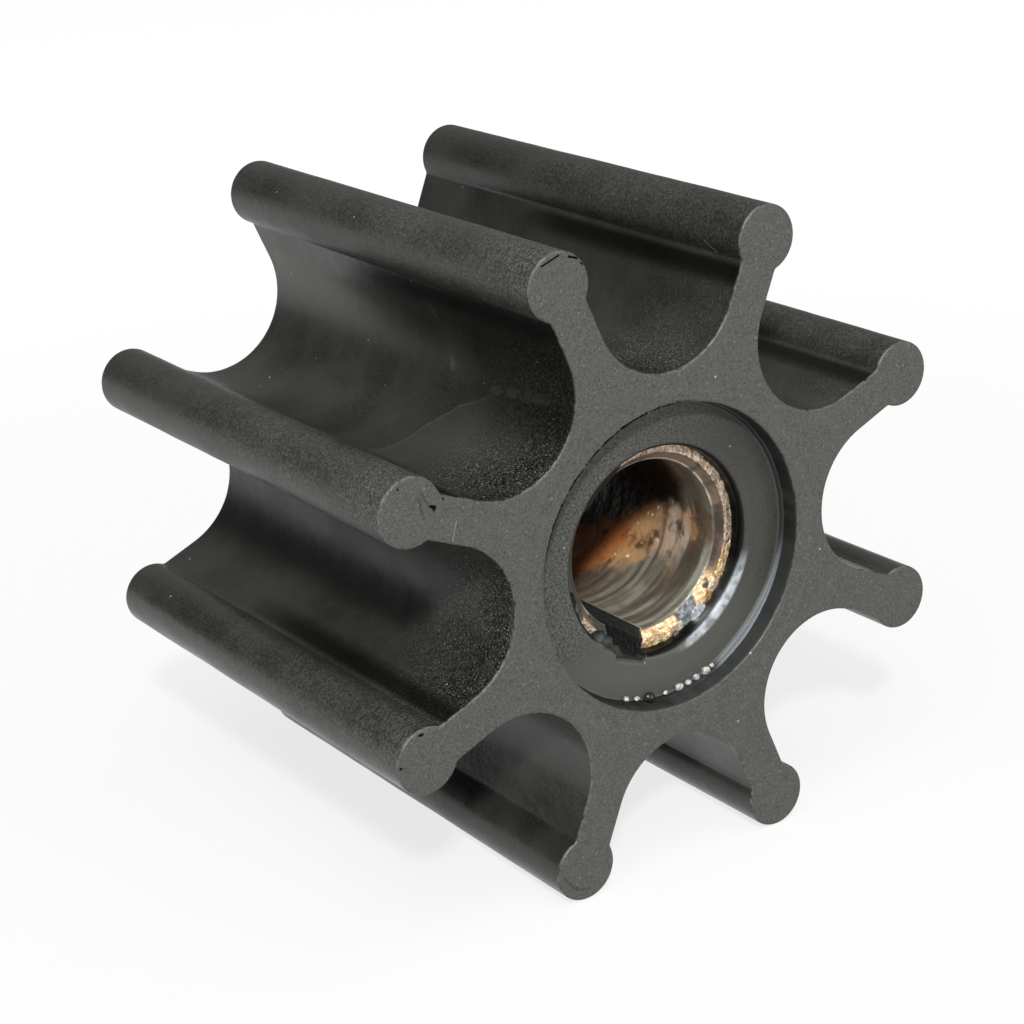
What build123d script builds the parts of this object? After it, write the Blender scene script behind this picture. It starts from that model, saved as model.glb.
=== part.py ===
"""Flexible-vane pump impeller: a moulded rubber body bonded around a keyed bronze insert.

Row frame, millimetres: the shaft axis is the Y axis, +Z is up, and the origin is on the axis, half
way between the two end faces. The impeller lies on two neighbouring vane tips.
Both pieces are drawn about a local Z axis, in end view, and placed with ROW_FRAME at the end.
"""
from build123d import *
import math
import os

# ---- Rubber body: overall form ----
OUTER_DIA = 65.0           # over the tips of two opposite vanes
WIDTH = 50.8               # from one end face to the other, along the shaft
VANE_COUNT = 8
WEB_THICKNESS = 4.1        # of a vane, between its root and its tip bead
BEAD_DIA = 6.3             # round bead along the tip of each vane
VALLEY_FLOOR_DIA = 34.8    # hub, measured over the lowest line of two opposite valleys

# ---- Rubber body: ends of the hub, alike at both ends ----
RECESS_DIA = 28.6
RECESS_DEPTH = 2.3
RECESS_CORNER_RADIUS = 0.5
LIP_THICKNESS = 1.5        # rubber over the rim of the insert, from the recess floor
LIP_ROUNDING = 0.6

# ---- Bore and keyway; the keyway also runs through both rubber lips ----
BORE_DIA = 16.0
LEAD_IN_RADIAL = 0.9       # chamfer at both mouths of the bore
LEAD_IN_AXIAL = 0.9
KEYWAY_WIDTH = 4.0
KEYWAY_DEPTH = 2.2         # below the wall of the bore
KEYWAY_ANGLE = -110.5      # from +X towards +Z, in degrees

# ---- Bronze insert ----
BARE_RIM_WIDTH = 0.8       # ring of the insert's end that the rubber lip leaves bare
FLUTE_COUNT = 16           # lengthwise grooves that lock the rubber to the insert
FLUTE_RADIUS = 1.2
FLUTE_DEPTH = 0.8
THINNEST_WALL = 1.0        # bronze left between the keyway and the bottom of a flute

# ---- Worked out from the dimensions above ----
VANE_PITCH = 360.0 / VANE_COUNT
HALF_PITCH = math.radians(VANE_PITCH / 2)
BEAD_CENTRE_RADIUS = (OUTER_DIA - BEAD_DIA) / 2
KEYWAY_FLOOR_RADIUS = BORE_DIA / 2 + KEYWAY_DEPTH
MOUTH_RADIUS = BORE_DIA / 2 + LEAD_IN_RADIAL + BARE_RIM_WIDTH
INSERT_RADIUS = KEYWAY_FLOOR_RADIUS + THINNEST_WALL + FLUTE_DEPTH
INSERT_LENGTH = WIDTH - 2 * (RECESS_DEPTH + LIP_THICKNESS)
RECESS_FLOOR_HEIGHT = WIDTH / 2 - RECESS_DEPTH
CUT_OVERRUN = 1.0          # how far a cutting solid runs past the surface that it opens

BOTH_ENDS = (Rot(0, 0, 0), Rot(180, 0, 0))
ROW_FRAME = Plane.XZ       # local X stays, local Y becomes +Z, local Z points to the -Y end face


def valley_outline():
    """Open space between two vanes, its middle line along local +Y.

    The floor is one arc that touches the flanks of both webs. From there the flanks run straight
    outwards, parallel to the middle line of their own vane.
    """
    sine, cosine = math.sin(HALF_PITCH), math.cos(HALF_PITCH)
    floor_radius = VALLEY_FLOOR_DIA / 2
    arc_radius = (floor_radius * sine - WEB_THICKNESS / 2) / (1 - sine)
    arc_centre = floor_radius + arc_radius
    foot = Vector(arc_radius * cosine, arc_centre - arc_radius * sine)
    head = foot + Vector(sine, cosine) * OUTER_DIA
    foot_left, head_left = Vector(-foot.X, foot.Y), Vector(-head.X, head.Y)
    floor = ThreePointArc(foot_left, (0, floor_radius), foot)
    sides = Polyline(foot, head, head_left, foot_left)
    return make_face(floor.edges() + sides.edges())


def vane_profile():
    """End view of the rubber: hub, webs and tip beads, with vanes either side of local -Y."""
    profile = Circle(BEAD_CENTRE_RADIUS)
    for place in PolarLocations(0, VANE_COUNT):
        profile -= place * valley_outline()
    for place in PolarLocations(BEAD_CENTRE_RADIUS, VANE_COUNT, start_angle=VANE_PITCH / 2):
        profile += place * Circle(BEAD_DIA / 2)
    return profile


def flute_locations():
    return PolarLocations(INSERT_RADIUS + FLUTE_RADIUS - FLUTE_DEPTH, FLUTE_COUNT)


def insert_blank():
    """Outer form of the insert, which is also the cavity that it fills in the rubber."""
    outline = Circle(INSERT_RADIUS)
    for place in flute_locations():
        outline -= place * Circle(FLUTE_RADIUS)
    return extrude(outline, INSERT_LENGTH / 2, both=True)


def keyway_slot():
    """Cutting block for the keyway, from the shaft axis to its floor and through both ends."""
    length = WIDTH + 2 * CUT_OVERRUN
    block = Box(KEYWAY_FLOOR_RADIUS, KEYWAY_WIDTH, length,
                align=(Align.MIN, Align.CENTER, Align.CENTER))
    return Rot(0, 0, KEYWAY_ANGLE) * block


def end_recess():
    """Cutting disc for the recess in the upper end face, rounded where its wall meets the floor."""
    disc = Cylinder(RECESS_DIA / 2, RECESS_DEPTH + CUT_OVERRUN,
                    align=(Align.CENTER, Align.CENTER, Align.MIN))
    disc = fillet(disc.edges().sort_by(Axis.Z)[0], RECESS_CORNER_RADIUS)
    return Pos(0, 0, RECESS_FLOOR_HEIGHT) * disc


def lip_mouth():
    """Cutting plug for the hole in the upper lip, flared to round the lip's outer edge."""
    wall_top = (MOUTH_RADIUS, RECESS_FLOOR_HEIGHT - LIP_ROUNDING)
    flare_top = (MOUTH_RADIUS + LIP_ROUNDING, RECESS_FLOOR_HEIGHT)
    core = Polyline(wall_top, (MOUTH_RADIUS, 0), (0, 0), (0, RECESS_FLOOR_HEIGHT), flare_top)
    flare = RadiusArc(flare_top, wall_top, LIP_ROUNDING)
    half_section = make_face(core.edges() + flare.edges())
    return revolve(Plane.XZ * half_section, Axis.Z)


def make_rubber_body():
    body = extrude(vane_profile(), WIDTH / 2, both=True)
    for end in BOTH_ENDS:
        body -= end * end_recess()
        body -= end * lip_mouth()
    body -= insert_blank()
    return body - keyway_slot()


def bore_lead_in():
    """Cutting cone for the chamfer at the upper mouth of the bore."""
    cone = Cone(BORE_DIA / 2, BORE_DIA / 2 + LEAD_IN_RADIAL, LEAD_IN_AXIAL,
                align=(Align.CENTER, Align.CENTER, Align.MAX))
    return Pos(0, 0, INSERT_LENGTH / 2) * cone


def make_bronze_insert():
    insert = insert_blank() - Cylinder(BORE_DIA / 2, INSERT_LENGTH + 2 * CUT_OVERRUN)
    for end in BOTH_ENDS:
        insert -= end * bore_lead_in()
    return insert - keyway_slot()


os.makedirs("parts", exist_ok=True)
PIECES = {
    "rubber_impeller_body": make_rubber_body(),
    "bronze_insert": make_bronze_insert(),
}
for node, piece in PIECES.items():
    export_step(ROW_FRAME * piece, f"parts/{node}.step")
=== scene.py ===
"""Rubber pump impeller with a keyed bronze insert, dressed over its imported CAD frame.

The CAD gives the size and the place. Both solids are rebuilt here as one closed mesh each, with the
rounded edges, the moulding's waviness and the rough metal rim that a CAD solid doesn't carry.
Shapes and materials are worked out in millimetres, in end view (x to the right, z up) and along the
shaft (y, with the front face at -y). Meshes are written to Blender in metres.
"""
import math

import bmesh
import bpy
from mathutils import Matrix, Vector, noise


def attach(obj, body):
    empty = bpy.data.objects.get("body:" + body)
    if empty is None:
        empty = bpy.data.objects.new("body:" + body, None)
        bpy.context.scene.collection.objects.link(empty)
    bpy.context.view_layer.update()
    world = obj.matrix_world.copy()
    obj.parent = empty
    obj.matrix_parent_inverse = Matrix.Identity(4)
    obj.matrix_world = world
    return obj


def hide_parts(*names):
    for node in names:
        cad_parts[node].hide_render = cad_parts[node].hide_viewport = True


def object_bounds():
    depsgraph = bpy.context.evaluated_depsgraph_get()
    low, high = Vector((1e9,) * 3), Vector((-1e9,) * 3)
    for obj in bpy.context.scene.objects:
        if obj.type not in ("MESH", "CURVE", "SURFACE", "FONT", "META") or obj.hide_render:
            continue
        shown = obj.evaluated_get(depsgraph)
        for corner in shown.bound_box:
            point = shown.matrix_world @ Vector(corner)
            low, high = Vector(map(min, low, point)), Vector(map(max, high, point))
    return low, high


MM = 0.001

# ---- Impeller, as in the CAD ----
OUTER_RADIUS = 32.5
HALF_WIDTH = 25.4
VANE_COUNT = 8
HALF_PITCH = math.pi / VANE_COUNT
WEB_HALF_THICKNESS = 2.05
BEAD_RADIUS = 3.15
BEAD_CENTRE = OUTER_RADIUS - BEAD_RADIUS
BEAD_FOOT = BEAD_CENTRE - BEAD_RADIUS
VALLEY_FLOOR = 17.4
RECESS_RADIUS = 14.3
RECESS_DEPTH = 2.3
LIP_DEPTH = 3.8            # underside of the rubber lip, from the end face
LIP_ROUNDING = 0.6
MOUTH_RADIUS = 9.7         # of the hole in the rubber lip
BORE_RADIUS = 8.0
LEAD_IN_RADIAL = 0.9
LEAD_IN_AXIAL = 0.9
KEYWAY_HALF_WIDTH = 2.0
KEYWAY_FLOOR = 10.2
KEYWAY_ANGLE = math.radians(-110.5)
INSERT_RADIUS = 12.0
FLUTE_COUNT = 16
FLUTE_RADIUS = 1.2
FLUTE_DEPTH = 0.8
INSERT_HALF_LENGTH = HALF_WIDTH - LIP_DEPTH

# ---- Detail that only the dressed model has ----
ROOM_FOR_WAVES = 0.05      # mean depth of a wavy or rough surface below the CAD's
END_ROUNDING = 0.22        # edge between the sides and the end faces
NECK_FILLET = 0.45         # between a web and its bead
FACE_STEP_RADIUS = 16.3    # faint mould line round the hub, on the end faces
FACE_STEP_DEPTH = 0.03
RECESS_EDGE = 0.18         # rounding of the recess's rim
WALL_DRAFT = 0.06          # by how much the recess's wall narrows down to its ledge
LEDGE_DEPTH = 1.9          # small step in the recess's wall, left by the mould
LEDGE_WIDTH = 0.10
LEDGE_ROUNDING = 0.08
LEDGE_SWELL = 0.40         # extra width of the ledge at the lower right
FLOOR_CORNER = 0.22        # between the recess's wall and floor
LIP_DISH = 0.08            # how far the lip dips towards its mouth
LIP_SPAN = 3.0             # width of that dip
LIP_WEAR = 0.70            # extra rounding of the lip's edge at the lower right
NOTCH_HALF_WIDTH = 1.75    # keyway through the rubber lips, closed in a little by the rubber
NOTCH_FLOOR = 10.2
SMOOTH_BELOW = math.radians(-157.5)   # direction of the vane below which the sides are smooth

# Rubber that crept over the insert's rim: angle and half width in degrees, reach.
TONGUES = ((-56, 5, 0.8), (-74, 2.5, 0.3), (-121, 9, 0.9), (-132, 4, 0.75), (-153, 3, 0.4),
           (-163, 6, 0.8), (128, 21, 1.2))

# Beads of flash in the recess's corner: angle in degrees, half length, half width.
FLASH_BEADS = ((-109.1, 0.26, 0.26), (-104.0, 0.3, 0.24), (-98.0, 0.62, 0.46), (-90.0, 0.28, 0.2),
               (-83.5, 0.46, 0.32), (-78.9, 0.3, 0.28), (-74.9, 0.34, 0.3), (-70.1, 0.46, 0.42),
               (-66.8, 0.26, 0.22))
FLASH_RADIUS = RECESS_RADIUS - 0.52
FLASH_DEPTH = RECESS_DEPTH - 0.25

# Marks of use: start and end of a straight line, and half width.
FACE_Y = -HALF_WIDTH
CRACKS = (((-12.92, FACE_Y, 29.28), (-11.16, FACE_Y, 29.88), 0.055),
          ((-10.15, FACE_Y, 29.60), (-9.30, FACE_Y, 29.30), 0.065),
          ((-8.95, FACE_Y, 28.85), (-8.75, FACE_Y, 28.65), 0.055),
          ((-25.20, FACE_Y, 11.36), (-24.75, FACE_Y, 11.20), 0.085),
          ((-24.90, FACE_Y, 11.25), (-24.87, FACE_Y, 11.02), 0.10),
          ((-28.23, FACE_Y, 13.58), (-28.19, FACE_Y, 13.58), 0.06),
          ((-23.94, FACE_Y, 11.72), (-23.90, FACE_Y, 11.72), 0.06),
          ((-27.80, FACE_Y, -8.60), (-27.50, FACE_Y, -8.60), 0.08),
          ((-29.87, FACE_Y, -11.05), (-29.83, FACE_Y, -11.05), 0.08))
CREASES = (((-25.41, FACE_Y, 11.55), (-26.09, FACE_Y, 12.85), 0.08),
           ((-26.23, FACE_Y, 12.37), (-26.11, FACE_Y, 11.40), 0.09),
           ((-26.11, FACE_Y, 11.40), (-25.88, FACE_Y, 10.47), 0.09),
           ((-13.65, FACE_Y, -27.29), (-12.83, FACE_Y, -28.45), 0.09),
           ((-12.83, FACE_Y, -28.45), (-12.07, FACE_Y, -28.98), 0.09),
           ((-12.07, FACE_Y, -28.98), (-10.96, FACE_Y, -29.22), 0.08))
SCRATCHES = (((-22.75, FACE_Y, 9.46), (-23.27, FACE_Y, 7.77), 0.03),
             ((8.18, -20.40, 26.69), (8.42, -21.89, 25.82), 0.05))
SMEARS = (((-11.17, -4.58, 21.77), (-10.24, -6.78, 16.04), 0.28),
          ((-10.27, -13.38, 19.25), (-10.41, -13.36, 15.40), 0.10),
          ((-10.43, -13.38, 15.32), (-10.19, -21.32, 16.19), 0.30))
DUST_CELL = 1.7            # at most one grain of dust lies in each cell of this size

# ---- Studio ----
FLOOR_HALF_SIZE = 3.0      # in metres
WORLD_STRENGTH = 0.12
LIGHT_DISTANCE = 0.9       # of every softbox, in metres
LIGHT_COLOUR = (1.0, 1.0, 0.975)
SENSOR_WIDTH = 36.0
LENS = 87.61
CAMERA_PLACE = Vector((-126.45, -188.71, 81.62)) * MM
CAMERA_TARGET = Vector((-0.58, -0.60, -2.22)) * MM
CAMERA_ROLL = math.radians(-3.18)


# ======== Curves ========
def polar(radius, angle):
    return Vector((radius * math.cos(angle), radius * math.sin(angle)))


def arc(centre, radius, start, end, steps):
    """Points of an arc in end view, both ends included."""
    span = (end - start) / steps
    return [centre + polar(radius, start + span * i) for i in range(steps + 1)]


def half_vane():
    """Outline from the middle of a valley floor to a vane's tip, the vane pointing along +x.

    Returns (point, outward normal) pairs. The valley floor lies at -HALF_PITCH.
    """
    sine = math.sin(HALF_PITCH)
    floor_arc = (VALLEY_FLOOR * sine - WEB_HALF_THICKNESS) / (1 - sine)
    floor_centre = polar(VALLEY_FLOOR + floor_arc, -HALF_PITCH)
    valley_mid = math.pi - HALF_PITCH
    valley = arc(floor_centre, floor_arc, valley_mid, math.pi / 2, 16)
    samples = [(p, (floor_centre - p).normalized()) for p in valley]

    # The neck's fillet touches the flank and the bead, outside both.
    drop = WEB_HALF_THICKNESS + NECK_FILLET
    reach = BEAD_RADIUS + NECK_FILLET
    neck_x = BEAD_CENTRE - math.sqrt(reach ** 2 - drop ** 2)
    neck_centre = Vector((neck_x, -drop))
    bead_centre = Vector((BEAD_CENTRE, 0.0))
    to_bead = bead_centre - neck_centre
    meet = math.atan2(to_bead.y, to_bead.x)

    flank_start = valley[-1].x
    flank_steps = 7
    for i in range(1, flank_steps):
        x = flank_start + (neck_x - flank_start) * i / flank_steps
        samples.append((Vector((x, -WEB_HALF_THICKNESS)), Vector((0.0, -1.0))))
    for p in arc(neck_centre, NECK_FILLET, math.pi / 2, meet, 5):
        samples.append((p, (neck_centre - p).normalized()))
    for p in arc(bead_centre, BEAD_RADIUS, meet - math.pi, 0.0, 20)[1:]:
        samples.append((p, (p - bead_centre).normalized()))
    return samples


def mirrored(samples):
    """The other half of the vane, from just past its tip to just before the next valley floor."""
    flip = Vector((1.0, -1.0))
    return [(p * flip, n * flip) for p, n in reversed(samples[1:-1])]


def body_outline():
    """Closed outline of the rubber in end view, anticlockwise, with outward normals."""
    half = half_vane()
    vane = half + mirrored(half)
    outline = []
    for k in range(VANE_COUNT):
        turn = Matrix.Rotation(HALF_PITCH * (2 * k + 1), 2)
        outline += [(turn @ p, turn @ n) for p, n in vane]
    return outline


def ring_angles():
    """Angles shared by all rings of the hub: even steps, and the keyway's own corners."""
    even_steps = 384
    angles = {2 * math.pi * i / even_steps for i in range(even_steps)}
    corners = (math.asin(KEYWAY_HALF_WIDTH / BORE_RADIUS),
               math.asin(KEYWAY_HALF_WIDTH / (BORE_RADIUS + LEAD_IN_RADIAL)),
               math.atan2(KEYWAY_HALF_WIDTH, KEYWAY_FLOOR),
               math.atan2(NOTCH_HALF_WIDTH, NOTCH_FLOOR),
               math.asin(NOTCH_HALF_WIDTH / MOUTH_RADIUS))
    for corner in corners:
        angles |= {(KEYWAY_ANGLE + side * corner) % (2 * math.pi) for side in (-1, 1)}
    return sorted(angles)


def angle_between(angle, other):
    """Angle from the other to the first, between -pi and pi."""
    return math.remainder(angle - other, 2 * math.pi)


def swell(angle, middle, spread, power=2):
    """1 at the middle, falling smoothly to 0 on both sides; middle and spread in degrees."""
    off = angle_between(angle, math.radians(middle))
    return math.exp(-(off / math.radians(spread)) ** power)


def slot_reach(angle, half_width, floor):
    """How far out a keyway reaches at an angle, measured from the shaft axis; 0 beside it."""
    off = abs(angle_between(angle, KEYWAY_ANGLE))
    if off >= math.pi / 2:
        return 0.0
    to_floor = floor / math.cos(off)
    to_wall = half_width / max(math.sin(off), 1e-6)
    return min(to_floor, to_wall)


def fluted(angle):
    """Radius of the insert's outside, which has lengthwise grooves."""
    off = math.remainder(angle, 2 * math.pi / FLUTE_COUNT)
    centre = INSERT_RADIUS + FLUTE_RADIUS - FLUTE_DEPTH
    across = centre * math.sin(off)
    if abs(across) >= FLUTE_RADIUS:
        return INSERT_RADIUS
    return min(INSERT_RADIUS, centre * math.cos(off) - math.sqrt(FLUTE_RADIUS ** 2 - across ** 2))


# ======== Meshes ========
def ripple(point, cell, height):
    """Unevenness at a point, between -height and +height, in cells of that size."""
    return height * noise.noise(point / cell)


def at(radius, angle, y):
    """Place at a distance and an angle from the shaft's axis."""
    return Vector((radius * math.cos(angle), y, radius * math.sin(angle)))


def ring_at(radii, y):
    """Ring round the shaft from (angle, radius) pairs, at one place along it."""
    return [at(radius, angle, y) for angle, radius in radii]


def loft(bm, rings):
    """Quads between neighbouring closed rings. Returns the first and the last ring's vertices."""
    rows = [[bm.verts.new(p * MM) for p in ring] for ring in rings]
    for near, far in zip(rows, rows[1:]):
        join(bm, near, far)
    return rows[0], rows[-1]


def join(bm, near, far):
    """Quads between two closed rings of the same count."""
    count = len(near)
    for i in range(count):
        j = (i + 1) % count
        bm.faces.new((near[i], near[j], far[j], far[i]))


def bridge_flat(bm, ring_a, ring_b):
    """Fills the flat area between two rings of different counts."""
    edges = []
    for ring in (ring_a, ring_b):
        for i, vert in enumerate(ring):
            other = ring[(i + 1) % len(ring)]
            edges.append(bm.edges.get((vert, other)) or bm.edges.new((vert, other)))
    bmesh.ops.triangle_fill(bm, use_beauty=True, use_dissolve=False, edges=edges)


def put(name, data):
    """Object in the scene with that mesh, light or camera."""
    obj = bpy.data.objects.new(name, data)
    bpy.context.collection.objects.link(obj)
    return obj


def mesh_object(name, bm):
    """Object from a mesh that is being edited, which ends here."""
    mesh = bpy.data.meshes.new(name)
    bm.to_mesh(mesh)
    bm.free()
    return put(name, mesh)


def smooth_object(name, bm):
    """Smooth-shaded object from a closed mesh, with flat areas kept flat by weighted normals."""
    bmesh.ops.recalc_face_normals(bm, faces=bm.faces)
    piece = mesh_object(name, bm)
    piece.data.shade_smooth()
    weighted = piece.modifiers.new("flat_faces", "WEIGHTED_NORMAL")
    weighted.keep_sharp = True
    return piece


def stations():
    """Places along the shaft for the rings of the body's sides, closer together near the ends."""
    steps = 52
    crowding = 0.12
    limit = HALF_WIDTH - END_ROUNDING
    turns = [math.pi * i / steps for i in range(steps + 1)]
    return [-limit * math.cos(turn) * (1 - crowding * math.sin(turn) ** 2) for turn in turns]


def outline_ring(outline, inset, y):
    """Ring of the body's outline, drawn in by inset, with the moulding's waviness."""
    ring = []
    for p, normal in outline:
        place = Vector((p.x, y, p.y))
        sink = ROOM_FOR_WAVES - ripple(place, 7.0, 0.035) - ripple(place, 1.6, 0.012)
        q = p - normal * (inset + sink)
        ring.append(Vector((q.x, y, q.y)))
    return ring


def side_rings():
    """Rings of the body from the edge of the front face to the edge of the back face."""
    steps = 4
    front = []
    for i in range(steps):
        lean = math.pi / 2 * i / steps
        inset = END_ROUNDING * (1 - math.sin(lean))
        rise = END_ROUNDING * (1 - math.cos(lean))
        front.append((inset, -HALF_WIDTH + rise))
    middle = [(0.0, y) for y in stations()]
    back = [(inset, -y) for inset, y in reversed(front)]
    outline = body_outline()
    return [outline_ring(outline, inset, y) for inset, y in front + middle + back]


def rounded_corner(centre_r, centre_depth, radius, start, end, steps):
    """(radius, depth) pairs round a corner of the hub's half section; angles in degrees, depth down."""
    pairs = []
    for i in range(steps + 1):
        turn = math.radians(start + (end - start) * i / steps)
        pairs.append((centre_r + radius * math.cos(turn), centre_depth - radius * math.sin(turn)))
    return pairs


def hub_section():
    """Half section of the hub's end, from the face inwards: (radius, depth, share of the ledge).

    The last number says how much of ledge_swell() the point moves inwards by.
    """
    step_slope = 0.05
    upper = [(FACE_STEP_RADIUS + 0.15, 0.0), (FACE_STEP_RADIUS + step_slope, 0.0),
             (FACE_STEP_RADIUS - step_slope, FACE_STEP_DEPTH), (FACE_STEP_RADIUS - 0.7, FACE_STEP_DEPTH)]
    upper += rounded_corner(RECESS_RADIUS + RECESS_EDGE, RECESS_EDGE, RECESS_EDGE, 90, 180, 4)
    wall_foot = RECESS_RADIUS - WALL_DRAFT
    upper += [(RECESS_RADIUS - WALL_DRAFT / 3, 0.7), (RECESS_RADIUS - WALL_DRAFT * 2 / 3, LEDGE_DEPTH - 0.15),
              (wall_foot, LEDGE_DEPTH)]
    ledge_r = wall_foot - LEDGE_WIDTH
    lower = rounded_corner(ledge_r, LEDGE_DEPTH + 0.11, LEDGE_ROUNDING, 90, 180, 4)
    floor_r = ledge_r - 0.12
    lower += rounded_corner(floor_r - FLOOR_CORNER, RECESS_DEPTH - FLOOR_CORNER, FLOOR_CORNER, 0, -90, 6)
    return [(r, depth, 0.0) for r, depth in upper] + [(r, depth, 1.0) for r, depth in lower]


def ledge_swell(angle):
    """Extra width of the ledge in the recess's wall, widest at the lower right."""
    return LEDGE_SWELL * swell(angle, -50, 24)


def lip_section(angle):
    """Half section of the rubber lip at an angle, as (distance outside the mouth, depth).

    It runs from the recess floor over the lip's dished top and rounded edge, which is worn at the
    lower right, down to the lip's underside.
    """
    rounding = LIP_ROUNDING + LIP_WEAR * swell(angle, -48, 30)
    dip = RECESS_DEPTH + LIP_DISH
    pairs = [(LIP_SPAN, RECESS_DEPTH), (2.5, RECESS_DEPTH + 0.25 * LIP_DISH),
             (2.0, RECESS_DEPTH + 0.7 * LIP_DISH), (rounding + 0.15, dip)]
    pairs += rounded_corner(rounding, dip + rounding, rounding, 90, 180, 9)
    wall_shares = (0.15, 0.35, 0.55, 0.72, 0.86, 0.94, 1.0)
    pairs += [(0.0, dip + rounding + share * (LIP_DEPTH - dip - rounding)) for share in wall_shares]
    return pairs


def mouth_place(angle, level):
    """Place for the unevenness of the lip's mouth. Another level gives another unevenness."""
    return Vector((math.cos(angle), math.sin(angle), level)) * MOUTH_RADIUS


def mouth(angle):
    """Radius of the hole in the rubber lip, with the keyway's notch and its lumpy corners."""
    notch = slot_reach(angle, NOTCH_HALF_WIDTH, NOTCH_FLOOR)
    smooth = max(MOUTH_RADIUS, min(notch, NOTCH_FLOOR + 0.12))
    return smooth + ripple(mouth_place(angle, 0.4), 2.2, 0.07)


def creep(angle, depth):
    """How far the rubber crept inwards over the rim at an angle, near the lip's underside."""
    near_rim = max(0.0, 1 - (LIP_DEPTH - depth) / 0.45)
    reach = 0.08 + ripple(mouth_place(angle, 0.7), 0.8, 0.12)
    for middle, half_width, length in TONGUES:
        reach += length * swell(angle, middle, half_width, power=4)
    return max(0.0, reach) * math.sqrt(near_rim)


def hub_rings(angles):
    """Rings of the hub's -y end, from the end face down to the insert's outside."""
    rings = []
    for radius, depth, share in hub_section():
        ring = []
        for a in angles:
            place = Vector((math.cos(a), 0.2, math.sin(a))) * radius
            ragged = ripple(place, 1.1, 0.05) if radius < RECESS_RADIUS + 0.1 else 0.0
            ring.append(at(radius + ragged - share * ledge_swell(a), a, depth - HALF_WIDTH))
        rings.append(ring)
    for pairs in zip(*(lip_section(a) for a in angles)):
        ring = []
        for a, (outside, depth) in zip(angles, pairs):
            notched = (mouth(a) - MOUTH_RADIUS) * (1 - outside / LIP_SPAN)
            ring.append(at(MOUTH_RADIUS + outside + notched - creep(a, depth), a, depth - HALF_WIDTH))
        rings.append(ring)
    rings.append(ring_at([(a, fluted(a)) for a in angles], -INSERT_HALF_LENGTH))
    return rings


def flipped(rings):
    """The same rings at the other end, in the opposite order."""
    mirror = Vector((1.0, -1.0, 1.0))
    return [[p * mirror for p in ring] for ring in reversed(rings)]


def make_rubber_body():
    bm = bmesh.new()
    front = hub_rings(ring_angles())
    hub_front, hub_back = loft(bm, front + flipped(front))
    edge_front, edge_back = loft(bm, side_rings())
    bridge_flat(bm, hub_front, edge_front)
    bridge_flat(bm, hub_back, edge_back)
    return smooth_object("rubber_body_moulded", bm)


def make_flash_beads():
    """Rounded beads of flash in the corner of the front recess, each half sunk in the rubber."""
    bm = bmesh.new()
    for degrees, half_length, half_width in FLASH_BEADS:
        angle = math.radians(degrees)
        centre = at(FLASH_RADIUS, angle, FLASH_DEPTH - HALF_WIDTH)
        size = Matrix.Diagonal((half_width, half_width, half_length, 1.0))
        placed = Matrix.Translation(centre) @ Matrix.Rotation(-angle, 4, "Y") @ size
        grown = bmesh.ops.create_icosphere(bm, subdivisions=4, radius=1.0)
        for vert in grown["verts"]:
            lump = 1 + 0.16 * noise.noise(vert.co * 1.3 + centre)
            vert.co = (placed @ (vert.co * lump)) * MM
    return smooth_object("flash_beads", bm)


def bore_reach(angle, radius):
    """Radius of the keyed bore at an angle, for a bore of that radius."""
    return max(radius, slot_reach(angle, KEYWAY_HALF_WIDTH, KEYWAY_FLOOR))


def rim_rings(angles):
    """Rough end face of the insert, from its outside in to the lead-in chamfer."""
    steps = 18
    rings = []
    for i in range(steps + 1):
        share = i / steps
        ring = []
        for a in angles:
            inner = bore_reach(a, BORE_RADIUS + LEAD_IN_RADIAL)
            radius = fluted(a) + (inner - fluted(a)) * share
            place = at(radius, a, 0.0)
            burr = ROOM_FOR_WAVES - ripple(place, 0.9, 0.05) - ripple(place, 0.35, 0.03)
            sink = burr if radius < MOUTH_RADIUS + 0.3 else 0.0
            ring.append(Vector((place.x, -INSERT_HALF_LENGTH + sink, place.z)))
        rings.append(ring)
    return rings


def bore_rings(angles):
    """Lead-in chamfer and one half of the bore, from the -y mouth to the middle."""
    rings = []
    for share in (0.12, 0.4, 0.7, 0.9):
        radius = BORE_RADIUS + LEAD_IN_RADIAL * (1 - share)
        y = -INSERT_HALF_LENGTH + LEAD_IN_AXIAL * share
        rings.append(ring_at([(a, bore_reach(a, radius)) for a in angles], y))
    steps = 14
    start = INSERT_HALF_LENGTH - LEAD_IN_AXIAL
    for i in range(steps):
        y = -start * (1 - i / steps)
        rings.append(ring_at([(a, bore_reach(a, BORE_RADIUS)) for a in angles], y))
    return rings


def make_bronze_insert():
    bm = bmesh.new()
    angles = ring_angles()
    half = rim_rings(angles) + bore_rings(angles)
    first, last = loft(bm, half + flipped(half))
    join(bm, last, first)
    return smooth_object("bronze_insert_machined", bm)


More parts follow.
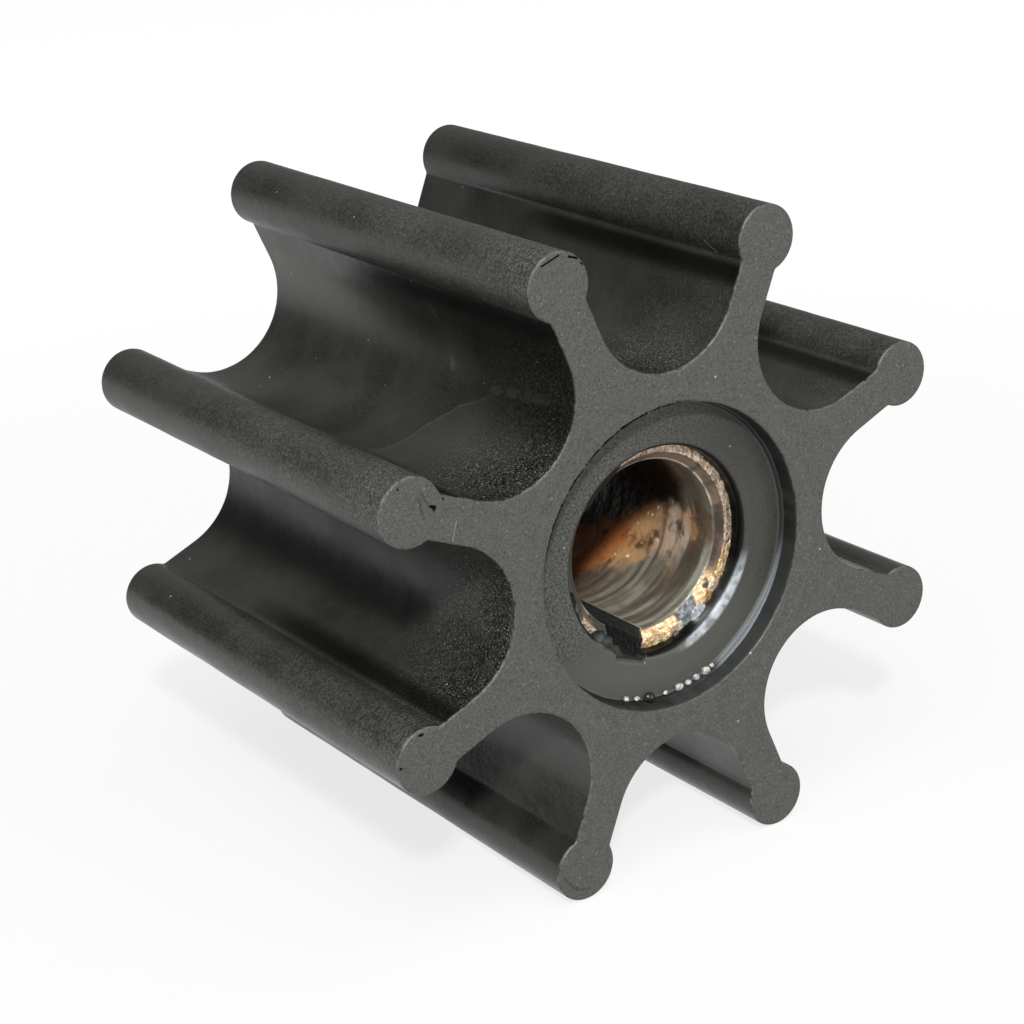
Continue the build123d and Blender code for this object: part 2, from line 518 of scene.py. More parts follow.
# ======== Materials ========
class Graph:
    """A material's node tree, with short calls for the nodes that it uses.

    Places and sizes are in millimetres. A share is a socket with a value between 0 and 1.
    """

    def __init__(self, name):
        self.material = bpy.data.materials.new(name)
        self.material.use_nodes = True
        self.tree = self.material.node_tree
        self.shader = self.tree.nodes["Principled BSDF"]
        place_in_metres = self.add("TexCoord").outputs["Object"]
        self.place = self.vector_math("DIVIDE", place_in_metres, (MM, MM, MM))
        self.x, self.y, self.z = self.add("SeparateXYZ", self.place).outputs
        self.radius = self.length(self.x, self.z)
        self.outside_bore = self.math("SUBTRACT", self.radius, BORE_RADIUS)
        self.from_middle = self.math("ABSOLUTE", self.y)
        self.sunk = self.math("SUBTRACT", HALF_WIDTH, self.from_middle)

    def add(self, kind, *values, **options):
        """Adds a node with its options set, and its first sockets fed with the values."""
        node = self.tree.nodes.new("ShaderNode" + kind)
        for option, value in options.items():
            setattr(node, option, value)
        for socket, value in zip(node.inputs, values):
            self.feed(socket, value)
        return node

    def feed(self, socket, value):
        """Links a socket to another node's output, or sets its own value."""
        if isinstance(value, bpy.types.NodeSocket):
            self.tree.links.new(value, socket)
        elif socket.type == "RGBA":
            socket.default_value = (*value, 1.0)
        else:
            socket.default_value = value

    def surface(self, setting, value):
        """Gives one of the shader's settings."""
        self.feed(self.shader.inputs[setting], value)

    # ---- Values and shares ----
    def math(self, operation, *values):
        return self.add("Math", *values, operation=operation).outputs[0]

    def vector_math(self, operation, *values):
        """A vector, or a number from an operation that gives one."""
        outputs = self.add("VectorMath", *values, operation=operation).outputs
        return outputs["Value" if operation in ("DOT_PRODUCT", "DISTANCE") else "Vector"]

    def plus(self, value, other, factor=1.0):
        """value + other * factor, where each may be a number or a socket."""
        return self.math("MULTIPLY_ADD", other, factor, value)

    def length(self, across, up):
        """Length of a line from its extents in two directions."""
        return self.math("SQRT", self.plus(self.times(across, across), up, up))

    def times(self, first, *others):
        """The product of shares and factors."""
        for other in others:
            first = self.math("MULTIPLY", first, other)
        return first

    def largest(self, first, *others):
        """The largest of several shares."""
        for other in others:
            first = self.math("MAXIMUM", first, other)
        return first

    def rest(self, share):
        """What a share leaves of 1."""
        return self.math("SUBTRACT", 1.0, share)

    def span(self, value, low, high, start=0.0, end=1.0):
        """Maps low..high smoothly to start..end, and holds it outside."""
        node = self.add("MapRange", value, low, high, start, end, interpolation_type="SMOOTHSTEP")
        return node.outputs["Result"]

    def where(self, **ranges):
        """1 where every named coordinate is in its range, with soft edges.

        A range is (0 up to here, 1 from here on), either way round, or (0, 1, 1, 0) for both ends.
        """
        shares = []
        for name, edges in ranges.items():
            coordinate = getattr(self, name)
            shares.append(self.span(coordinate, *edges[:2]))
            if len(edges) == 4:
                shares.append(self.span(coordinate, edges[3], edges[2]))
        return self.times(*shares)

    # ---- Noise ----
    def noise(self, cell, detail, vector=None, roughness=0.55):
        """Noise between 0 and 1 in cells of that size."""
        node = self.add("TexNoise", vector or self.place)
        node.inputs["Scale"].default_value = 1.0 / cell
        node.inputs["Detail"].default_value = detail
        node.inputs["Roughness"].default_value = roughness
        return node.outputs["Fac"]

    def wobble(self, value, waves, height):
        """A value made uneven by a noise, over a range of that height."""
        return self.plus(value, self.math("SUBTRACT", waves, 0.5), height)

    # ---- Colours and values between two others ----
    def mix(self, share, first, second):
        """From the first colour to the second as the share goes from 0 to 1."""
        node = self.add("Mix", data_type="RGBA")
        self.feed(node.inputs[0], share)
        self.feed(node.inputs[6], first)
        self.feed(node.inputs[7], second)
        return node.outputs[2]

    def mix_value(self, share, first, second):
        """The same for values."""
        node = self.add("Mix", data_type="FLOAT")
        self.feed(node.inputs[0], share)
        self.feed(node.inputs[2], first)
        self.feed(node.inputs[3], second)
        return node.outputs[0]

    # ---- Places on the impeller ----
    def along(self, angle):
        """How far out a place lies in one direction in end view."""
        return self.plus(self.times(self.x, math.cos(angle)), self.z, math.sin(angle))

    def beside_keyway(self):
        """Distance from the keyway's middle plane."""
        return self.math("ABSOLUTE", self.along(KEYWAY_ANGLE + math.pi / 2))

    def in_keyway(self, half_width):
        """1 inside the keyway's slot, seen from the end, and 0 beside it."""
        return self.times(self.span(self.beside_keyway(), *beyond(half_width, 0.2, 0.05)),
                          self.span(self.along(KEYWAY_ANGLE), *beyond(BORE_RADIUS, -0.6, -0.3)))

    def near_line(self, start, end, half_width):
        """1 on a straight line in space, out to its half width, and 0 from twice that on."""
        along = Vector(end) - Vector(start)
        offset = self.vector_math("SUBTRACT", self.place, start)
        projected = self.vector_math("DOT_PRODUCT", offset, along / along.length_squared)
        share = self.add("Clamp", projected).outputs[0]
        nearest = self.vector_math("MULTIPLY", along, share)
        gap = self.vector_math("DISTANCE", offset, nearest)
        return self.span(gap, 2 * half_width, half_width)

    def near_lines(self, lines):
        return self.largest(*(self.near_line(*line) for line in lines))

    # ---- Relief ----
    def bump(self, height, depth, below=None):
        """Bump of that depth, on top of another bump."""
        node = self.add("Bump")
        self.feed(node.inputs["Height"], height)
        node.inputs["Distance"].default_value = depth * MM
        if below:
            self.feed(node.inputs["Normal"], below)
        return node.outputs["Normal"]


def beyond(size, *offsets):
    """Limits of a range, as offsets from one of the impeller's sizes."""
    return tuple(size + offset for offset in offsets)


def grey(value):
    """Grey of the nitrile rubber, a little short of blue."""
    return (value, value, value * 0.91)


class Rubber(Graph):
    """Nitrile rubber: mottled sides, paler end faces, recess walls painted dark for shade, other painted
    highlights and shade, and the marks of use.
    """

    # Colours, in linear light. A pair gives the two ends of a mottling.
    SIDES = grey(0.010), grey(0.024)
    SIDE_GRAIN = grey(0.030)
    FROSTED = grey(0.012), grey(0.056)
    PITS = grey(0.004), grey(0.022)
    SPARKLE = grey(0.24)
    PAINTED_SHEEN = grey(0.070)
    PATCH_TONE = grey(0.045)
    PATCH_EDGE_TONE = grey(0.070)
    SMEAR = (0.056, 0.066, 0.060)
    DARKENING = grey(0.004)
    EDGE_HIGHLIGHT = grey(0.085)
    FACES = grey(0.027), grey(0.062)
    FACE_CLOUDS = grey(0.055)
    FACE_SPECKS = grey(0.15)
    SMOOTH_RECESS = grey(0.022), grey(0.036)
    LOW_RECESS = grey(0.052)
    GRAINY_RECESS = grey(0.018), grey(0.066)
    RECESS_SPECKS = grey(0.13)
    RECESS_WALL = grey(0.006), (0.019, 0.023, 0.026)
    LEDGE = (0.105, 0.117, 0.128)
    LIP_WALL = grey(0.006)
    WORN_LIP = grey(0.012), (0.075, 0.080, 0.088)
    LIP_HIGHLIGHT = (0.290, 0.315, 0.345)
    NOTCH = grey(0.022)
    CREASE = grey(0.012)
    SCRATCH = grey(0.20)
    CRACK = grey(0.003)
    DUST = (0.32, 0.32, 0.30)

    def __init__(self):
        super().__init__("nitrile_rubber")
        self.grain = self.noise(0.30, 3, roughness=0.75)
        self.speck = self.noise(0.24, 2, roughness=0.8)
        self.light_specks = self.span(self.noise(0.30, 1), 0.68, 0.76)
        self.clouds = self.noise(9.0, 4, roughness=0.6)
        self.patches = self.noise(3.5, 3)

        self.end_face = self.where(sunk=(0.12, 0.02))
        self.in_recess = self.where(radius=beyond(RECESS_RADIUS, 0.1, -0.1))
        self.outside_recess = self.rest(self.in_recess)
        self.on_bead = self.where(radius=beyond(BEAD_FOOT, 0.3, 2.3))
        self.off_bead = self.rest(self.on_bead)
        # Grooves under the beads, darkened and dulled as painted shade.
        self.groove_shade = self.times(self.where(radius=beyond(BEAD_FOOT, -2.6, -0.6, 0, 0.8), y=(12, 0)),
                                 self.span(self.z, -14, -6, 0.25, 1))
        self.less_low_down = self.span(self.z, -6, 0, 0.6, 1)
        self.blasted, self.pitted = self.sandblasted()
        # Front of the upper left valley, just below its upper vane, where shade is painted: fewer sparkling
        # grains and less gloss.
        self.corner = self.times(self.where(x=(-5, -8), z=(10, 15), y=(-5, -16)), self.off_bead)

        self.grainy_side = self.times(self.span(self.plus(self.x, self.z, -0.5), 5, -7),
                                      self.where(z=(-9, -5.5)))
        self.wall = self.times(self.in_recess, self.where(
            sunk=(0.15, 0.4, *beyond(RECESS_DEPTH, -0.2, -0.06)), radius=beyond(RECESS_RADIUS, -0.95, -0.6)))
        # Painted highlight on the ledge in the recess's wall, at the right and strongest low down.
        self.ledge = self.times(self.where(sunk=beyond(LEDGE_DEPTH, -0.08, -0.02, 0.22, 0.30), x=(5.4, 6.8)),
                                self.span(self.z, -1, -7, 0.12, 1), self.wall)
        # The lip's wall is painted near black and dull for shade, but is mottled at the lower left and less
        # dull there and at the lower right.
        self.lip_wall = self.where(radius=beyond(MOUTH_RADIUS, 0.45, 0.18))
        self.worn_lip = self.where(x=(-1, -3), z=(-6, -7.5))
        self.cracks = self.largest(self.torn_rim(), self.near_lines(CRACKS))

        self.surface("Base Color", self.colour())
        self.surface("Roughness", self.roughness())
        self.surface("IOR", 1.5)
        self.surface("Specular IOR Level", 0.38)
        self.surface("Metallic", self.gloss_loss())
        relief = self.bump(self.noise(1.8, 3), 0.05)
        fine_relief = self.times(self.grain, self.math("ADD", 0.3, self.blasted))
        self.surface("Normal", self.bump(fine_relief, 0.05, relief))

    # ---- Where the marks are ----
    def sandblasted(self):
        """Shares of the sandblasted look, at the front left and along the beads, and of its pits."""
        near_front = self.times(self.where(y=(-9, -23.5)), self.span(self.x, 7, -2, 0.2, 1))
        along_bead = self.times(self.on_bead, self.span(self.y, 16, -6, 0.15, 0.55))
        above_smooth_sides = self.span(self.along(SMOOTH_BELOW - math.pi / 2), -1.5, 1.5)
        blasted = self.times(self.largest(near_front, along_bead), self.outside_recess,
                             self.span(self.patches, 0.28, 0.60, 0.4, 1), above_smooth_sides)
        return blasted, self.times(blasted, near_front, self.off_bead)

    def torn_rim(self):
        """Dark, ragged crevice along the recess's rim, at the upper left."""
        ragged = self.wobble(self.radius, self.noise(0.5, 3), 0.5)
        crevice = self.times(self.where(radius=beyond(RECESS_RADIUS, 0.02, 0.08)),
                             self.span(ragged, *beyond(RECESS_RADIUS, 0.30, 0.22)))
        broken = self.span(self.noise(0.9, 3, roughness=0.75), 0.34, 0.46)
        return self.times(crevice, self.where(z=(0, 7), x=(4, -1)), broken)

    def paler_patch(self):
        """Shares of a paler patch with a curved edge in the upper left valley, and of its edge."""
        away = self.length(self.math("ADD", self.y, 14.0), self.math("SUBTRACT", self.z, 6.4))
        away = self.wobble(away, self.noise(4.0, 2), 1.6)
        patch = self.times(self.where(x=(-20.5, -19.5, -9.8, -9.6), z=(9.0, 9.4), y=(-17, -12)),
                           self.span(away, 8.45, 8.25))
        return patch, self.times(patch, self.span(away, 8.10, 8.25))

    def painted_lip_highlight(self):
        """Share of the bluish painted highlight on the lip's polished rounding and the tongue beside it."""
        band = self.where(radius=beyond(MOUTH_RADIUS, 0.18, 0.36, 0.78, 1.08))
        tongue = self.where(radius=beyond(MOUTH_RADIUS, -0.15, -0.25), sunk=beyond(LIP_DEPTH, -0.8, -0.6))
        streaks = self.span(self.noise(1.0, 3), 0.34, 0.60, 0.35, 1)
        return self.times(self.where(x=(1.5, 4.0), z=(-2.0, -4.5)), streaks, self.largest(band, tongue))

    def dust(self):
        """Share of white dust: one grain in some of the cells of a grid."""
        cells = self.add("TexVoronoi", self.place)
        cells.inputs["Scale"].default_value = 1 / DUST_CELL
        lot = self.add("SeparateColor", cells.outputs["Color"]).outputs[0]
        grain_radius = self.span(lot, 0.66, 1, 0, 0.075)
        return self.span(self.math("SUBTRACT", cells.outputs["Distance"], grain_radius), 0, -0.025)

    # ---- Colours ----
    def sides(self):
        """Colour of the vanes and the valleys."""
        side = self.mix(self.span(self.clouds, 0.3, 0.7), *self.SIDES)
        side = self.mix(self.span(self.grain, 0.42, 0.68, 0, 0.45), side, self.SIDE_GRAIN)
        side = self.mix(self.blasted, side, self.mix(self.span(self.grain, 0.36, 0.64), *self.FROSTED))
        side = self.mix(self.pitted, side, self.mix(self.span(self.grain, 0.40, 0.66), *self.PITS))

        # Sparkling grains, fewer on the beads and low down, and fewer in the front corner of the upper left
        # valley as painted shade.
        sparkle = self.span(self.noise(0.17, 1, roughness=0.5), 0.60, 0.70)
        shiny = self.times(sparkle, self.blasted, self.span(self.on_bead, 0, 1, 0.85, 0.30),
                           self.span(self.corner, 0, 1, 1, 0.4), self.less_low_down)
        side = self.mix(shiny, side, self.SPARKLE)

        # Painted sheen on the back half of the upper left vane, a paler patch with a curved edge, and pale
        # smears.
        sheen_patch = self.times(self.where(x=(-5, -9), z=(15, 19), y=(0, 14)), self.off_bead,
                           self.span(self.clouds, 0.35, 0.65, 0.35, 0.75))
        side = self.mix(sheen_patch, side, self.PAINTED_SHEEN)
        patch, patch_edge = self.paler_patch()
        side = self.mix(self.times(patch, 0.32), side, self.PATCH_TONE)
        side = self.mix(self.times(patch_edge, 0.3), side, self.PATCH_EDGE_TONE)
        smeared = self.times(self.near_lines(SMEARS), self.span(self.noise(1.3, 3), 0.34, 0.62, 0.1, 0.5))
        side = self.mix(smeared, side, self.SMEAR)

        # Painted shade in the grooves under the beads, and a painted highlight on the edges at the end faces.
        side = self.mix(self.times(self.groove_shade, 0.75), side, self.DARKENING)
        edge_highlight = self.times(self.where(sunk=(0.30, 0.16)), self.outside_recess,
                               self.span(self.noise(0.7, 3), 0.36, 0.56))
        return self.mix(edge_highlight, side, self.EDGE_HIGHLIGHT)

    def faces(self):
        """Colour of the end faces."""
        face = self.mix(self.span(self.speck, 0.32, 0.68), *self.FACES)
        face = self.mix(self.span(self.noise(1.4, 2), 0.35, 0.65, 0, 0.35), face, self.FACE_CLOUDS)
        return self.mix(self.times(self.light_specks, 0.5), face, self.FACE_SPECKS)

    def recess(self):
        """Colour of the recess: floor, a wall painted nearly black for shade with a painted highlight on its
        ledge, and lip.
        """
        smooth = self.mix(self.span(self.speck, 0.3, 0.7), *self.SMOOTH_RECESS)
        # Painted light: the recess floor is paler towards the bottom.
        smooth = self.mix(self.span(self.z, -3, -11, 0, 0.8), smooth, self.LOW_RECESS)
        grainy = self.mix(self.span(self.speck, 0.32, 0.68), *self.GRAINY_RECESS)
        grainy = self.mix(self.times(self.light_specks, 0.6), grainy, self.RECESS_SPECKS)
        colour = self.mix(self.grainy_side, smooth, grainy)

        # The recess's wall is painted near black for shade and bluish at the lower right for a painted
        # reflection, with a painted highlight on its ledge; the lip's wall is painted near black for shade,
        # mottled at the lower left.
        wall = self.mix(self.where(z=(-1, -5), x=(-2, 3)), *self.RECESS_WALL)
        colour = self.mix(self.times(self.wall, 0.9), colour, wall)
        colour = self.mix(self.ledge, colour, self.LEDGE)
        worn = self.mix(self.span(self.patches, 0.40, 0.60), *self.WORN_LIP)
        colour = self.mix(self.lip_wall, colour, self.mix(self.worn_lip, self.LIP_WALL, worn))
        return self.mix(self.painted_lip_highlight(), colour, self.LIP_HIGHLIGHT)

    def colour(self):
        colour = self.mix(self.in_recess, self.sides(), self.recess())
        notch = self.times(self.in_keyway(NOTCH_HALF_WIDTH + 0.1), self.where(
            radius=beyond(NOTCH_FLOOR, 0.5, 0.3), sunk=beyond(RECESS_DEPTH, 0.3, 0.5)))
        colour = self.mix(notch, colour, self.NOTCH)
        colour = self.mix(self.end_face, colour, self.faces())
        colour = self.mix(self.times(self.near_lines(CREASES), 0.55), colour, self.CREASE)
        colour = self.mix(self.times(self.near_lines(SCRATCHES), 0.5), colour, self.SCRATCH)
        colour = self.mix(self.cracks, colour, self.CRACK)
        return self.mix(self.times(self.dust(), 0.75), colour, self.DUST)

    # ---- Gloss ----
    def roughness(self):
        """Smooth low down, duller where sandblasted and on the flat faces, polished on the lip."""
        sides = self.plus(self.span(self.z, -10, 0, 0.28, 0.38), self.blasted, 0.14)
        sides = self.plus(sides, self.span(self.clouds, 0.32, 0.68, -0.04, 0.08))
        flat = self.largest(self.end_face, self.in_recess)
        rough = self.mix_value(flat, sides, self.span(self.end_face, 0, 1, 0.52, 0.58))
        return self.plus(rough, self.where(radius=beyond(MOUTH_RADIUS, 1.3, 0.9)), -0.12)

    def gloss_loss(self):
        """How metallic the rubber is: cracks and pits swallow light, and painted shade dulls the grooves
        under the beads, the front corner of the upper left valley, the upper right vanes and the recess's and
        lip's walls.

        A near-black metal has next to no gloss, so it stands for them.
        """
        pits = self.times(self.pitted, self.span(self.grain, 0.56, 0.46, 0.2, 0.7), self.less_low_down)
        shaded_hollows = self.times(self.largest(self.groove_shade, self.corner), 0.75)
        # Painted shade: a little less gloss on the upper right vanes.
        upper_right_shade = self.times(self.where(x=(-5, 3), z=(2, 8)), 0.18)
        pits = self.times(self.largest(pits, shaded_hollows, upper_right_shade), self.rest(self.end_face))
        recess_pits = self.times(self.in_recess, self.grainy_side, self.span(self.speck, 0.54, 0.40, 0, 0.3))
        # Painted shade on the recess's and lip's walls, less on the ledge and the glossy parts of the lip.
        wall_shade = self.math("SUBTRACT", self.times(self.wall, 0.55), self.ledge)
        glossy_lip = self.largest(self.where(x=(3.4, 5.2), z=(-2.5, -4.5)), self.worn_lip)
        lip_shade = self.times(self.lip_wall, self.span(glossy_lip, 0, 1, 0.75, 0))
        walls = self.times(self.largest(wall_shade, lip_shade), self.in_recess)
        return self.largest(pits, recess_pits, walls, self.cracks)


class Flash(Graph):
    """Pale beads of flash, their paleness partly residue and partly a painted highlight, with one dark bubble
    among them.
    """

    PALE_AND_HIGHLIGHT = (0.14, 0.14, 0.135), (0.45, 0.45, 0.43)
    BUBBLE = grey(0.012)

    def __init__(self):
        super().__init__("moulding_flash")
        pale = self.mix(self.span(self.noise(0.35, 2), 0.35, 0.65), *self.PALE_AND_HIGHLIGHT)
        bubble = self.where(x=(-2.77, -2.67, -1.17, -1.07))
        self.surface("Base Color", self.mix(bubble, pale, self.BUBBLE))
        self.surface("Roughness", self.span(bubble, 0, 1, 0.4, 0.16))
        self.surface("Normal", self.bump(self.noise(0.2, 2), 0.04))


class Bronze(Graph):
    """Worn bronze: a scraped rim, a browner lead-in, bright patches that are partly painted highlights, and a
    bore with rust, gold, grime and a painted shadow.
    """

    # Colours, given as for the rubber.
    WORN = (0.115, 0.068, 0.042), (0.46, 0.35, 0.27)
    TARNISH = (0.44, 0.24, 0.12)
    MOUTH_BROWN = (0.10, 0.07, 0.05)
    GOLD = (0.22, 0.10, 0.035), (0.48, 0.28, 0.13)
    GLINT = (0.95, 0.72, 0.46)
    RUST = (0.50, 0.165, 0.045)
    SCORCHED = (0.035, 0.022, 0.015)
    GRIME = (0.075, 0.069, 0.052), (0.250, 0.245, 0.200)
    GRIME_STAINS = (0.060, 0.045, 0.030)
    DEEP_DARKENING = (0.030, 0.024, 0.018)
    UPPER_DARKENING = (0.11, 0.11, 0.09)
    BORE_SHADOW = (0.010, 0.008, 0.006)
    KEYWAY_EDGE_HIGHLIGHT = (0.32, 0.25, 0.19)
    WORN_LINE = (0.42, 0.32, 0.23)
    LEAD_IN = (0.030, 0.021, 0.016), (0.130, 0.088, 0.062)
    DULL = (0.26, 0.19, 0.13), (0.60, 0.48, 0.37)
    DULL_SPOTS = (0.09, 0.065, 0.045)
    BRIGHT_AND_HIGHLIGHT = (0.50, 0.30, 0.12), (1.0, 0.85, 0.57)
    BRIGHT_SPOTS = (0.20, 0.115, 0.045)
    DARKENING = (0.030, 0.030, 0.026)
    SMEAR = (0.020, 0.025, 0.030), (0.180, 0.205, 0.235)
    KEYWAY = (0.012, 0.012, 0.012)

    def __init__(self):
        super().__init__("bronze")
        self.scratch = self.noise(0.35, 3, roughness=0.7)
        self.patches = self.noise(2.2, 2)
        self.blotches = self.noise(2.6, 3, roughness=0.6)
        self.rings = self.turning_rings()
        self.level = self.wobble(self.z, self.blotches, 5.0)

        self.on_rim = self.where(outside_bore=(0.7, 0.9))
        self.slot = self.in_keyway(KEYWAY_HALF_WIDTH)
        low_left = self.times(self.span(self.plus(self.x, self.z), -9.5, -11.5),
                              self.span(self.patches, 0.56, 0.48))
        far_left = self.where(x=(-2.5, -4.5), z=(-5.0, -3.5))
        self.dirty = self.times(self.largest(low_left, far_left), self.where(outside_bore=(0, 0.1)))
        self.smeared = self.where(x=(3.1, 3.7, 5.0, 5.4), z=(-5.4, -6.0), outside_bore=(0.1, 0.25))

        self.surface("Base Color", self.colour())
        clean = self.rest(self.largest(self.slot, self.dirty, self.smeared))
        self.surface("Metallic", self.times(clean, self.span(self.on_rim, 0, 1, 0.2, 0.6)))
        on_lead_in = self.math("SUBTRACT", self.where(outside_bore=(0.12, 0.2)), self.on_rim)
        self.surface("Roughness", self.plus(self.span(self.scratch, 0.3, 0.7, 0.3, 0.5), on_lead_in, 0.3))
        relief = self.bump(self.rings, 0.10)
        relief = self.bump(self.noise(0.9, 2), 0.12, relief)
        self.surface("Normal", self.bump(self.times(self.on_rim, self.noise(0.45, 2)), 0.22, relief))

    def turning_rings(self):
        """Rings left by turning: noise squeezed along the shaft and drawn out round the bore."""
        stretched = self.vector_math("MULTIPLY", self.place, (0.10, 1.0, 0.10))
        return self.noise(1.15, 2, vector=stretched)

    def worn(self):
        """Brown, ringed metal near the mouths."""
        colour = self.mix(self.span(self.rings, 0.38, 0.58), *self.WORN)
        colour = self.mix(self.span(self.blotches, 0.50, 0.66, 0, 0.6), colour, self.TARNISH)
        return self.mix(self.where(from_middle=(18.4, 19.4)), colour, self.MOUTH_BROWN)

    def golden(self):
        """Gold with bright glints, deeper in."""
        colour = self.mix(self.span(self.blotches, 0.34, 0.60), *self.GOLD)
        return self.mix(self.span(self.noise(1.0, 1), 0.66, 0.72), colour, self.GLINT)

    def grime(self):
        """Greenish grey stains at the bottom, darker deeper in."""
        stains = self.span(self.noise(4.5, 2, roughness=0.5), 0.45, 0.62, 0, 0.6)
        colour = self.mix(self.span(self.rings, 0.35, 0.62), *self.GRIME)
        colour = self.mix(stains, colour, self.GRIME_STAINS)
        return self.mix(self.span(self.from_middle, 13.0, 4.5, 0, 0.8), colour, self.DEEP_DARKENING)

    def bore(self):
        """Colour inside the bore, by distance to the insert's middle and height."""
        uneven = self.plus(self.from_middle, self.blotches, 4.0)
        colour = self.mix(self.span(uneven, 13.4, 17.2), self.golden(), self.worn())
        colour = self.mix(self.span(uneven, 13.0, 8.5), colour, self.RUST)
        scorched = self.span(self.noise(1.7, 3, roughness=0.6), 0.54, 0.68, 0, 0.75)
        colour = self.mix(scorched, colour, self.SCORCHED)

        # Grime low down, a darker upper half, and a painted shadow above a line that rises towards the mouth.
        tilted = self.plus(self.level, self.math("SUBTRACT", self.from_middle, 11.0), -0.35)
        colour = self.mix(self.span(tilted, -4.9, -6.7, 0, 0.92), colour, self.grime())
        colour = self.mix(self.span(self.level, 0.5, 1.5, 0, 0.85), colour, self.UPPER_DARKENING)
        slanted = self.plus(self.level, self.from_middle, -0.45)
        painted_shadow = self.times(self.span(slanted, -7.6, -5.2), self.where(from_middle=(18.5, 15.5)))
        colour = self.mix(painted_shadow, colour, self.BORE_SHADOW)

        # Painted highlight along the edge where the bore meets the keyway.
        edge = self.times(self.span(self.beside_keyway(), *beyond(KEYWAY_HALF_WIDTH, 0.36, 0.20)),
                          self.where(z=(-4, -5)), self.span(self.noise(1.6, 2), 0.38, 0.55, 0.2, 1))
        return self.mix(edge, colour, self.KEYWAY_EDGE_HIGHLIGHT)

    def dull(self):
        """Scraped metal with a dull skin."""
        colour = self.mix(self.span(self.scratch, 0.35, 0.65), *self.DULL)
        return self.mix(self.span(self.noise(0.8, 2), 0.55, 0.64, 0, 0.7), colour, self.DULL_SPOTS)

    def bright(self):
        """Freshly scraped metal, also used as a painted highlight at the lower right."""
        colour = self.mix(self.span(self.scratch, 0.42, 0.62), *self.BRIGHT_AND_HIGHLIGHT)
        return self.mix(self.span(self.noise(0.7, 2), 0.52, 0.62, 0, 0.75), colour, self.BRIGHT_SPOTS)

    def colour(self):
        """Colour from the bore, over a worn line and the lead-in, out to the rim."""
        worn_line = self.times(self.where(outside_bore=(0.02, 0.07)), self.span(self.patches, 0.44, 0.56))
        colour = self.mix(worn_line, self.bore(), self.WORN_LINE)
        bright = self.bright()

        lead_in = self.mix(self.span(self.patches, 0.36, 0.62), *self.LEAD_IN)
        # Bright patches on the lead-in at the lower right: partly scraped metal, partly painted highlight.
        cream = self.where(x=(5.1, 5.5), z=(-3.8, -5.2))
        clump = self.where(x=(-2.6, -1.6, 2.8, 3.3), z=(-7.4, -8.0))
        highlit_spots = self.times(self.largest(cream, clump), self.span(self.patches, 0.26, 0.34))
        lead_in = self.mix(highlit_spots, lead_in, bright)
        colour = self.mix(self.where(outside_bore=(0.14, 0.24)), colour, lead_in)

        # Bright patches on the rim at the lower right: partly scraped metal, partly painted highlight.
        scraped_and_highlit = self.times(self.where(z=(-1.6, -3.4), x=(-3.0, -1.5)), self.span(self.patches, 0.36, 0.46))
        rim = self.mix(scraped_and_highlit, self.dull(), bright)
        colour = self.mix(self.where(outside_bore=(0.72, 0.88)), colour, rim)

        # Dirt at the lower left, a bluish smear at the lower right whose pale streaks are a painted
        # reflection, and the black keyway.
        colour = self.mix(self.dirty, colour, self.DARKENING)
        smear = self.mix(self.span(self.scratch, 0.36, 0.60), *self.SMEAR)
        colour = self.mix(self.smeared, colour, smear)
        return self.mix(self.slot, colour, self.KEYWAY)


class Table(Graph):
    """White table that glows a little, more so farther out, so that its shadows stay pale."""

    def __init__(self):
        super().__init__("white_table")
        away = self.length(self.x, self.y)
        self.surface("Base Color", (0.11, 0.11, 0.11))
        self.surface("Roughness", 0.9)
        self.surface("Specular IOR Level", 0.2)
        self.surface("Emission Color", (1.0, 1.0, 1.0))
        self.surface("Emission Strength", self.span(away, 50, 300, 0.79, 0.90))


# ======== Stage ========
def make_floor(height):
    bm = bmesh.new()
    half = FLOOR_HALF_SIZE
    corners = [(-half, -half), (half, -half), (half, half), (-half, half)]
    bm.faces.new([bm.verts.new((x, y, height)) for x, y in corners])
    floor = mesh_object("floor", bm)
    floor.data.materials.append(Table().material)


def make_world():
    world = bpy.data.worlds.new("soft_white_studio")
    bpy.context.scene.world = world
    world.use_nodes = True
    background = world.node_tree.nodes["Background"]
    background.inputs["Color"].default_value = (1.0, 1.0, 1.0, 1.0)
    background.inputs["Strength"].default_value = WORLD_STRENGTH


def aim(obj, target, roll=0.0):
    """Turns an object's -Z axis to a target, then rolls it about that axis."""
    towards = Vector(target) - obj.location
    turn = towards.to_track_quat("-Z", "Y").to_matrix().to_4x4()
    roll_about_view = Matrix.Rotation(roll, 4, "Z")
    obj.matrix_world = Matrix.Translation(obj.location) @ turn @ roll_about_view


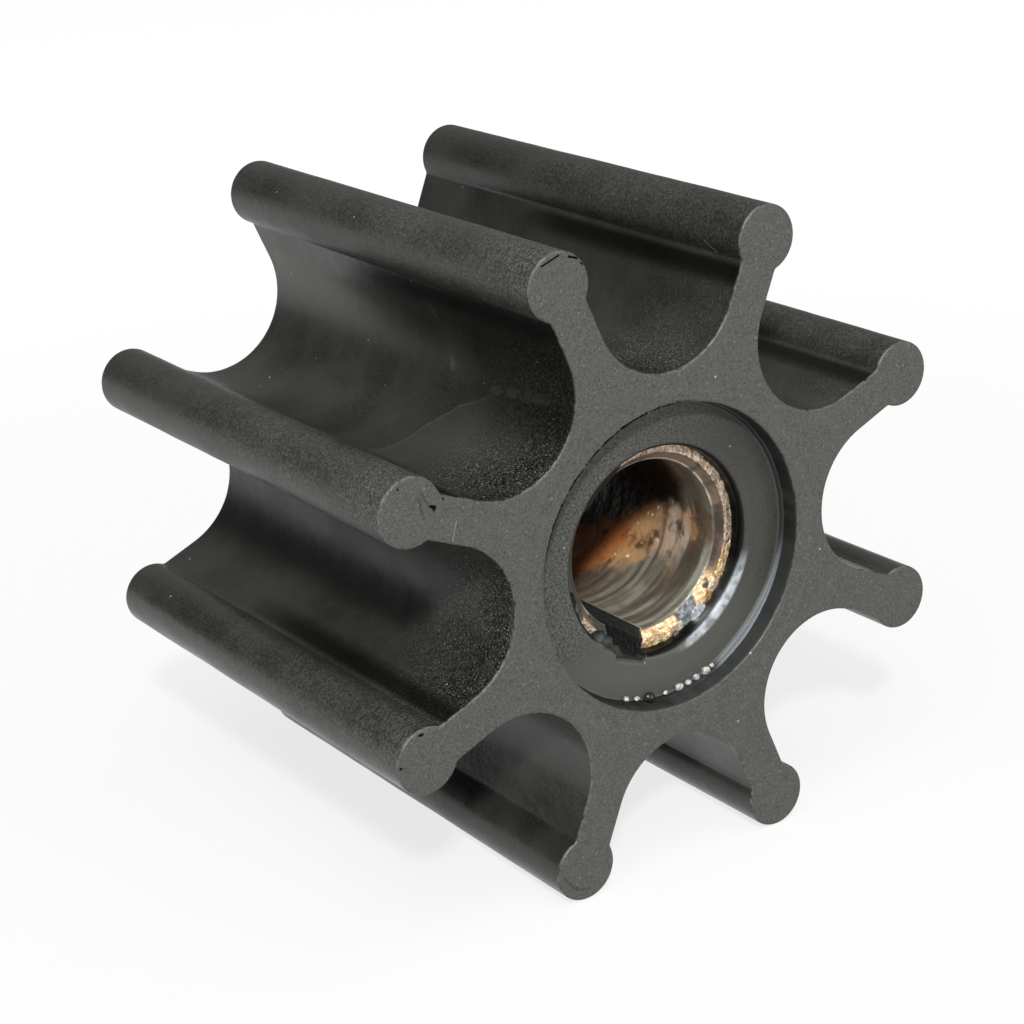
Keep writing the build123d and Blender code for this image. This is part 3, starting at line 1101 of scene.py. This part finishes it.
def add_softbox(name, azimuth, elevation, spread, irradiance):
    """Square area light aimed at the impeller. Azimuth 0 is in front, at -y, and +90 is at +x.

    spread is its width in degrees, seen from the impeller, and irradiance what it gives there.
    """
    light = bpy.data.lights.new(name, "AREA")
    light.size = 2 * LIGHT_DISTANCE * math.tan(math.radians(spread / 2))
    light.energy = irradiance * math.pi * LIGHT_DISTANCE ** 2
    light.color = LIGHT_COLOUR
    lamp = put(name, light)
    a, e = math.radians(azimuth), math.radians(elevation)
    away = Vector((math.sin(a) * math.cos(e), -math.cos(a) * math.cos(e), math.sin(e)))
    lamp.location = away * LIGHT_DISTANCE
    aim(lamp, (0.0, 0.0, 0.0))


def add_camera():
    data = bpy.data.cameras.new("camera")
    data.sensor_width = SENSOR_WIDTH
    data.lens = LENS
    camera = put("camera", data)
    camera.location = CAMERA_PLACE
    aim(camera, CAMERA_TARGET, CAMERA_ROLL)
    bpy.context.scene.camera = camera


# ======== Scene ========
def dress(piece, graph, node=None):
    """Gives a piece its material and the impeller's one body, and hides the CAD node that it stands for."""
    piece.data.materials.append(graph.material)
    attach(piece, "root")
    if node:
        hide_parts(node)


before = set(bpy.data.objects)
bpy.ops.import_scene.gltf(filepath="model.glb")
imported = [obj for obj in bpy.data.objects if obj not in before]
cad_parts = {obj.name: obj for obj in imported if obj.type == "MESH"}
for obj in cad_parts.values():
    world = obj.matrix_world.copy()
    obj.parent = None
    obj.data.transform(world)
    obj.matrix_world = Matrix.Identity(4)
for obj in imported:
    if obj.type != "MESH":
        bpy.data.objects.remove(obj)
cad_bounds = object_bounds()

add_camera()
dress(make_rubber_body(), Rubber(), "rubber_impeller_body")
dress(make_bronze_insert(), Bronze(), "bronze_insert")
dress(make_flash_beads(), Flash())

make_floor(cad_bounds[0][2])
make_world()
add_softbox("key", azimuth=-32, elevation=38, spread=5, irradiance=3.9)
add_softbox("upper_left", azimuth=-52, elevation=60, spread=34, irradiance=1.8)
add_softbox("top", azimuth=8, elevation=70, spread=34, irradiance=0.58)
add_softbox("right", azimuth=62, elevation=66, spread=28, irradiance=0.55)
add_softbox("low_front", azimuth=35, elevation=7, spread=26, irradiance=0.7)
add_softbox("backdrop", azimuth=150, elevation=14, spread=60, irradiance=0.25)
bpy.context.scene.view_settings.view_transform = "Standard"
